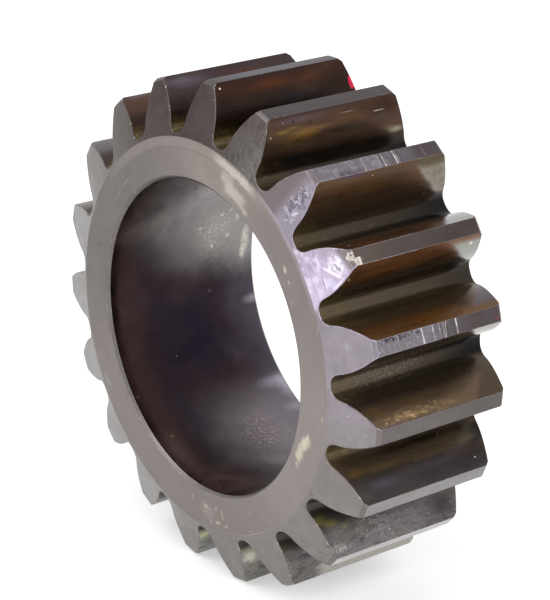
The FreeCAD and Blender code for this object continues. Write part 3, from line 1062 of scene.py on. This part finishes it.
    # Painted reflection along the tip of the ninth tooth's flank
    painted_tip_reflection = finish.both(finish.on_flank(9, False), finish.down(2.6, 2.0), finish.along(-11, -7))
    finish.paint((172, 168, 160), 0.9, painted_tip_reflection)
    scratched = finish.both(finish.on_flank(8, False), finish.stain(-14.0, 1.6, 3.5, 1.3, fray), hatched)
    finish.paint((196, 194, 192), 0.5, scratched)
    # Painted shadow: the roots of the lowest teeth darkened where the teeth shade them
    shadowed_low_roots = finish.both(finish.near_turn(168, 40, 56), finish.down(8.2, 9.2))
    finish.paint((62, 58, 57), 0.85, shadowed_low_roots)

    # Bright specks of swarf on the root between the fifth and the sixth tooth
    swarf_root = finish.both(finish.near_turn(85.3, 5.0, 6.5), finish.down(8.6, 10.2))
    finish.paint((100, 90, 78), 0.4, swarf_root, finish.along(10, -8))
    swarf = finish.grain(2.3, 4, low=0.58, high=0.66)
    finish.paint((172, 168, 158), 0.5, swarf_root, finish.band(finish.y, -5.0, 5.0, 11.0), swarf)
    for turn, colour, strength in ROOT_TINTS:
        finish.paint(colour, strength, root, finish.near_turn(turn, 5.0, 7.0))
    for flank, flecks in FLANK_SPECKS.items():
        for along, depth, size, colour in flecks:
            speck = finish.fleck(*flank, along, depth, (size, size, size), ragged=0.2, soft=0.5)
            finish.paint(colour, 0.9, speck)
    streak = finish.fleck(2, True, 11.2, 2.4, (0.6, 2.2, 0.14), ragged=1.2, soft=0.8)
    finish.paint((200, 188, 168), 0.75, streak)
    thin_streak = finish.fleck(2, True, 3.5, 1.5, (0.5, 2.8, 0.12), ragged=0.9, soft=0.8)
    finish.paint((150, 132, 122), 0.7, thin_streak)
    finish.red_mark()
    specks = finish.grain(2.6, 2, low=0.76, high=0.8)
    finish.paint((190, 180, 160), 0.5, specks)
    return finish.done()


# Tooth and colour of its tip land, with painted reflection and shade: pale from the seventh tooth down, where
# the land mirrors the white table, and darker on the top teeth
LAND_COLOURS = (
    (1, (88, 85, 92)), (2, (84, 77, 78)), (3, (112, 105, 110)), (4, (84, 75, 71)), (5, (104, 98, 101)),
    (6, (108, 102, 100)), (7, (147, 145, 144)), (8, (203, 201, 199)), (9, (246, 242, 234)),
    (10, (150, 147, 143)), (18, (92, 88, 96)), (19, (92, 86, 94)),
)


def tip_land_finish():
    """Turned tips of the teeth, lilac-grey in front and browner behind, nicked on two teeth, with the white
    table's reflection painted on the lower ones.
    """
    finish = Finish("satin tip land", 1.0, 0.42, (102, 95, 94))
    for number, colour in LAND_COLOURS:
        finish.paint(colour, 1.0, finish.on_tooth(number))
    # Painted reflection of the table on the lands at the lower left
    finish.paint((150, 148, 146), 1.0, finish.near_turn(-130, 50, 76))
    cloudy = finish.grain(0.4, 4, stretch=(1, 0.3, 1))
    finish.paint((84, 77, 76), 0.18, cloudy)
    finish.raise_up(0.003, finish.grain(1.6, 5, stretch=(1, 0.1, 1)))
    across = finish.both(finish.side, tooth_turn * tip_radius)
    front = finish.along(-4, -15)
    finish.paint((62, 54, 57), 0.8, finish.on_tooth(1), front)
    finish.paint((100, 88, 80), 0.8, finish.on_tooth(4), front)
    finish.paint((92, 88, 84), 0.7, finish.on_tooth(6), finish.along(-4, 10))
    brown_behind = finish.both(finish.near_turn(57, 24, 34), finish.along(-2, 10))
    finish.paint((74, 64, 62), 0.75, brown_behind)
    for number, end in ((3, 1.0), (5, -1.5)):
        finish.paint((126, 120, 125), 0.85, finish.on_tooth(number), finish.along(end + 4, end - 3))
    fray = finish.noise(finish.place, 0.9, 5.0, 0.6).outputs["Fac"]
    blotches = finish.grain(0.55, 5, 0.6, stretch=(1, 0.6, 1), low=0.48, high=0.62)
    finish.paint((92, 84, 96), 0.3, finish.near_turn(45, 45, 60), blotches)
    dark_edge = finish.both(
        finish.on_tooth(3), finish.band(finish.y, -7.5, 1.0, 4.5),
        finish.step(finish.math("MULTIPLY_ADD", fray, 2.4, across), 0.9, 2.6),
    )
    finish.paint((66, 55, 70), 0.7, dark_edge)
    pale = finish.both(finish.on_tooth(3), finish.band(finish.y, 7.0, 0.5, 3.5))
    finish.paint((118, 111, 120), 0.4, pale)
    rubbed = finish.grain(0.6, 6, 0.65, low=0.48, high=0.6)
    finish.paint((160, 152, 165), 0.5, finish.on_tooth(3), finish.along(10, -2), rubbed)
    speckled = finish.grain(1.0, 6, 0.7, low=0.5, high=0.6)
    finish.paint((150, 149, 158), 0.5, finish.on_tooth(5), finish.along(4, -4), speckled)
    broken = finish.math("MULTIPLY_ADD", finish.grain(0.6, 4, low=0.42, high=0.55), 0.65, 0.35)
    for number, along, width, strength, lean in NICKS:
        slanted = finish.math("MULTIPLY_ADD", across, -lean, finish.y)
        frayed = finish.math("MULTIPLY_ADD", fray, width * 1.6, slanted)
        nick = finish.band(frayed, along + width * 0.8, width * 0.3, width)
        colour = (218, 211, 216) if strength > 0 else (56, 47, 50)
        finish.paint(colour, abs(strength), finish.on_tooth(number), broken, nick)
    battered = finish.both(finish.on_tooth(5), finish.along(-4.0, -5.5))
    pitted_edge = finish.step(finish.math("MULTIPLY_ADD", fray, 1.2, across), 0.5, -0.5)
    pits = finish.both(battered, pitted_edge, finish.grain(1.6, 4, low=0.5, high=0.58))
    finish.paint((54, 48, 52), 0.85, pits)
    finish.raise_up(-0.06, pits)
    glints = finish.both(battered, finish.grain(1.9, 3, low=0.62, high=0.68))
    finish.paint((188, 182, 190), 0.7, glints)
    reddish = finish.both(finish.on_tooth(5), finish.patch(76.5, tip_radius, 14.5, (1.0, 0.5, 1.0)))
    finish.paint((120, 76, 80), 0.6, reddish)
    return finish.done()


# Grease dried in the bore: angle, place along the axis, half size around and along
DRIED_IN_BORE = (
    (-80, 17.0, 4.6, 1.5), (-86, 16.4, 2.6, 1.3), (-70, 13.6, 1.2, 0.6), (-67.7, 9.2, 0.7, 0.6),
    (-81, 7.8, 0.8, 0.7), (-78, 12.0, 0.8, 0.8), (-72, 4.0, 0.4, 0.5), (-66, 11.5, 0.5, 0.5),
)
# Painted highlights in the bore, soft streaks laid out the same, each with a strength
BORE_HIGHLIGHT_STREAKS = (
    (-140, 18.5, 2.6, 9.0, 0.6), (-144, 19.0, 4.6, 4.0, 0.6), (-106, 19.0, 1.6, 5.0, 0.5),
    (-153, 18.0, 2.4, 5.0, 0.35),
)
# Specks: angle, place along the axis, half size, colour
BORE_SPOTS = (
    (-48, -2.0, 0.35, (60, 54, 52)), (-131, -18.0, 0.5, (120, 96, 84)), (-150, -15.0, 0.4, (140, 110, 90)),
    (-120, -5.0, 0.25, (110, 104, 110)), (-99, 7.0, 0.6, (74, 66, 70)), (-64, -15.7, 0.3, (120, 112, 106)),
)


def bore_finish():
    """Polished bore, dark below, with a painted grey reflection above."""
    finish = Finish("polished bore", 1.0, 0.24, (43, 36, 43))
    finish.paint((52, 40, 42), 0.6, finish.grain(0.07, 4))
    wobble = finish.noise(finish.place, 0.09, 4.0, 0.55).outputs["Fac"]
    wander = finish.math("MULTIPLY_ADD", wobble, 16.0, -8.0)
    turns = finish.math("ADD", finish.math("DEGREES", finish.angle), wander)
    finish.paint((76, 55, 52), 0.75, finish.along(-8, -17))
    blue = finish.patch(-116, BORE_RADIUS, 0, (15, 15, 15), soft=1.0)
    finish.paint((33, 27, 42), 0.75, blue, finish.grain(0.1, 3, low=0.25, high=0.55))
    wandering = finish.math("ADD", finish.y, wander)
    finish.paint((129, 121, 126), 0.85, finish.near_turn(-176, 22, 46), finish.step(wandering, -14, 17))
    finish.paint((98, 92, 104), 0.6, finish.near_turn(-130, 22, 44), finish.step(wandering, 7, 22))
    flecked = finish.patch(-162, BORE_RADIUS, 6, (10, 9, 10), soft=1.1)
    finish.paint((180, 166, 170), 0.7, flecked, finish.grain(1.5, 6, 0.72, low=0.5, high=0.64))
    # Painted reflection: a soft grey band on the upper wall of the bore
    above = finish.both(finish.step(turns, -97, -84), finish.step(turns, 0, -24))
    slope = finish.math("ADD", finish.math("MULTIPLY_ADD", turns, 0.8, finish.y), 54.5)
    painted_reflection = finish.both(above, finish.step(slope, -27, 11))
    finish.paint((137, 133, 132), 0.95, painted_reflection)
    brown_top = finish.near_turn(-38, 20, 36)
    finish.paint((160, 150, 146), 0.6, brown_top, finish.along(-2, -10))
    finish.paint((138, 116, 110), 0.85, brown_top, finish.along(-9, -17))
    finish.paint((120, 94, 92), 0.75, finish.near_turn(-175, 12, 34), finish.along(-12, -17))
    finish.paint((152, 116, 112), 0.9, finish.near_turn(162, 14, 32), finish.along(-2, -15))
    dusty = finish.patch(-74, BORE_RADIUS, 9, (9, 9, 9), ragged=0.9, soft=1.1)
    finish.paint((162, 157, 149), 0.5, dusty)
    speckled = finish.both(dusty, finish.grain(1.7, 5, 0.65, low=0.5, high=0.66))
    finish.paint((206, 201, 190), 0.5, speckled)
    for angle, along, around, length in DRIED_IN_BORE:
        dried = finish.bore_mark(angle, along, around, length, ragged=1.3, soft=1.1)
        finish.paint((208, 203, 190), 0.7, dried)
    # Painted highlights, streaked along the bore
    for angle, along, around, length, strength in BORE_HIGHLIGHT_STREAKS:
        streak = finish.bore_mark(angle, along, around, length, ragged=0.5, soft=1.2, loose=False)
        finish.paint((184, 180, 194), strength, streak)
    for angle, along, size, colour in BORE_SPOTS:
        finish.paint(colour, 0.7, finish.bore_mark(angle, along, size, size, ragged=0.4, loose=False))
    finish.raise_up(0.001, finish.grain(0.8, 4, stretch=(1, 0.4, 1)))
    finish.roughen(0.12, finish.grain(0.2, 4))
    return finish.done()


def chamfer_finish():
    """Turned chamfers, grey and finely grained, with the painted shade and light of the ends beside them:
    darker near the top, lilac at the front of the fifth tooth.
    """
    finish = Finish("turned chamfer", 1.0, 0.4, (118, 112, 111))
    # Painted shade near the top, as on the tooth ends
    finish.paint((84, 77, 76), 0.8, finish.near_turn(-9.5, 10, 50))
    finish.paint((100, 94, 93), 0.4, finish.grain(0.6, 4))
    finish.paint((128, 118, 116), 0.7, finish.on_tooth(4), finish.out(50, 51))
    # Painted lilac light on the fifth tooth's front chamfer, as on the ends at the right
    finish.paint((142, 136, 148), 0.8, finish.on_tooth(5), finish.along(0, -1))
    finish.raise_up(0.005, finish.grain(1.6, 4))
    return finish.done()


def worn_edge_finish():
    """Edges of the teeth that wear and handling have brightened, uneven along their length, under painted
    light and shade like the tooth ends.
    """
    finish = Finish("worn bright edge", 1.0, 0.35, (118, 112, 109))
    # Painted shade near the top, painted light low at the left and a painted lilac highlight at the right
    # front
    finish.paint((82, 75, 73), 0.85, finish.near_turn(-9.5, 10, 60))
    finish.paint((150, 148, 146), 0.5, finish.near_turn(-150, 40, 80))
    finish.paint((176, 166, 184), 0.8, finish.near_turn(62, 18, 36), finish.along(0, -1))
    finish.paint((92, 85, 82), 0.5, finish.grain(0.5, 5, low=0.45, high=0.6))
    finish.paint((184, 180, 172), 0.7, finish.grain(0.9, 5, low=0.58, high=0.66))
    finish.red_mark()
    finish.raise_up(0.01, finish.grain(1.4, 4))
    return finish.done()


def chip_finish():
    """Bare grain of the steel where flakes broke off, dusted with dried cream grease."""
    finish = Finish("fresh chip", 0.3, 0.6, (236, 229, 221))
    finish.paint((182, 172, 164), 0.7, finish.grain(0.9, 4, 0.6, low=0.45, high=0.6))
    finish.roughen(-0.15, finish.grain(1.7, 3))
    finish.raise_up(0.04, finish.grain(3.0, 4))
    return finish.done()


# Table and light

def shown_white(nodes, links):
    """1 on rays that come from the camera, or by way of a polished or a clear surface, and 0 on the rest."""
    rays = nodes.new("ShaderNodeLightPath")
    shown = rays.outputs["Is Camera Ray"]
    for name in ("Is Glossy Ray", "Is Transmission Ray"):
        either = nodes.new("ShaderNodeMath")
        either.operation = "MAXIMUM"
        links.new(shown, either.inputs[0])
        links.new(rays.outputs[name], either.inputs[1])
        shown = either.outputs[0]
    return shown


def white_table():
    """Pale plain floor that shows white to the camera and in the polish, and keeps the gear's shadow."""
    bpy.ops.mesh.primitive_plane_add(size=TABLE_SIZE, location=(0, 0, cad_low.z - TABLE_GAP))
    floor = bpy.context.object
    floor.name = "white_table"
    material = bpy.data.materials.new("white table")
    material.use_nodes = True
    nodes, links = material.node_tree.nodes, material.node_tree.links
    shader = nodes["Principled BSDF"]
    shader.inputs["Base Color"].default_value = (TABLE_WHITE, TABLE_WHITE, TABLE_WHITE, 1)
    shader.inputs["Roughness"].default_value = 0.9
    shader.inputs["Specular IOR Level"].default_value = 0.0
    glow = nodes.new("ShaderNodeMath")
    glow.operation = "MULTIPLY"
    links.new(shown_white(nodes, links), glow.inputs[0])
    glow.inputs[1].default_value = TABLE_GLOW
    shader.inputs["Emission Color"].default_value = (1, 1, 1, 1)
    links.new(glow.outputs[0], shader.inputs["Emission Strength"])
    floor.data.materials.append(material)


def white_room():
    """World that is white to the camera and in the polish, and lights the gear softly from all round."""
    world = bpy.data.worlds.new("white room")
    bpy.context.scene.world = world
    world.use_nodes = True
    nodes, links = world.node_tree.nodes, world.node_tree.links
    background = nodes["Background"]
    background.inputs["Color"].default_value = (1, 1, 1, 1)
    strength = nodes.new("ShaderNodeMapRange")
    links.new(shown_white(nodes, links), strength.inputs["Value"])
    strength.inputs["To Min"].default_value = ROOM_LIGHT
    strength.inputs["To Max"].default_value = 1.0
    links.new(strength.outputs["Result"], background.inputs["Strength"])


def softbox(name, place, size, power):
    """Area lamp that faces the gear."""
    lamp = bpy.data.lights.new(name, "AREA")
    lamp.shape = "SQUARE"
    lamp.size = size
    lamp.energy = power
    holder = bpy.data.objects.new(name, lamp)
    holder.location = place
    holder.rotation_euler = (-Vector(place)).to_track_quat("-Z", "Y").to_euler()
    bpy.context.scene.collection.objects.link(holder)


set_camera()

gear_mesh = whole_gear()
break_edges(gear_mesh)
dent_ends(gear_mesh)
nick_lands(gear_mesh)
chip_corner(gear_mesh)
smooth_shading(gear_mesh)
finishes = [
    thrust_face_finish(), tooth_end_finish(), flank_finish(), tip_land_finish(),
    bore_finish(), chamfer_finish(), worn_edge_finish(), chip_finish(),
]
gear = piece_of("worn_planet_gear", gear_mesh, finishes)
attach(gear, "root")
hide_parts("planet_gear")

white_table()
white_room()
for name, place, size, power in SOFTBOXES:
    softbox(name, place, size, power)

bpy.context.scene.view_settings.view_transform = "Standard"
